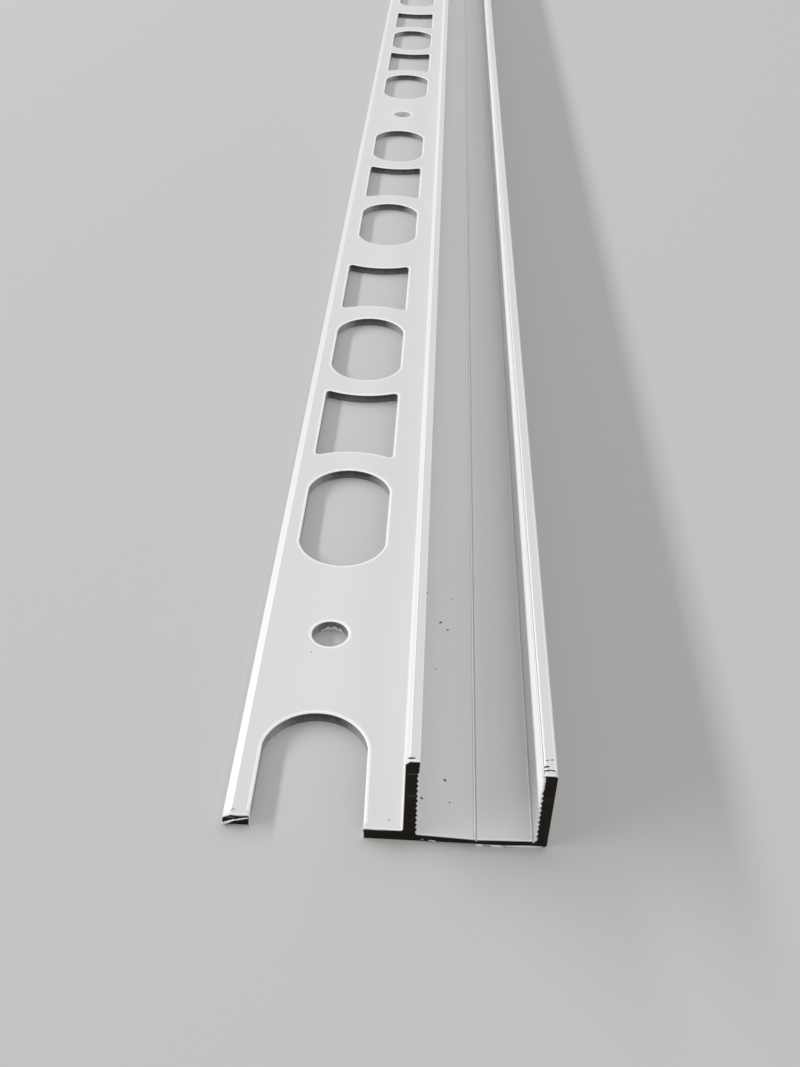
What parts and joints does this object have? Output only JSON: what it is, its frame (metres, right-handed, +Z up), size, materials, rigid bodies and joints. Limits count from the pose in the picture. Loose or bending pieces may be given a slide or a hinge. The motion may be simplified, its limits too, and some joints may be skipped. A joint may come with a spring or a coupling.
{
  "type": "aluminium tile trim profile with a light strip channel",
  "caption": "Extruded aluminium tile trim: a U channel for a light strip and its cover, with a perforated flat leg along one side that is bedded in tile adhesive or screwed down.",
  "frame": {"origin": "under the middle of the length and of the width, on the underside, which lies on the floor", "axes": "+Y along the stock, away from the end sawn through a hole; +Z up, out of the channel's mouth; the leg is on the -X side and the channel on the +X side"},
  "size_m": [0.0346, 1, 0.0125],
  "materials": {
    "anodised_aluminium": "satin natural anodised, with bare sawn ends"
  },
  "bodies": {
    "root": {"trim_profile": "anodised_aluminium"}
  },
  "joints": []
}
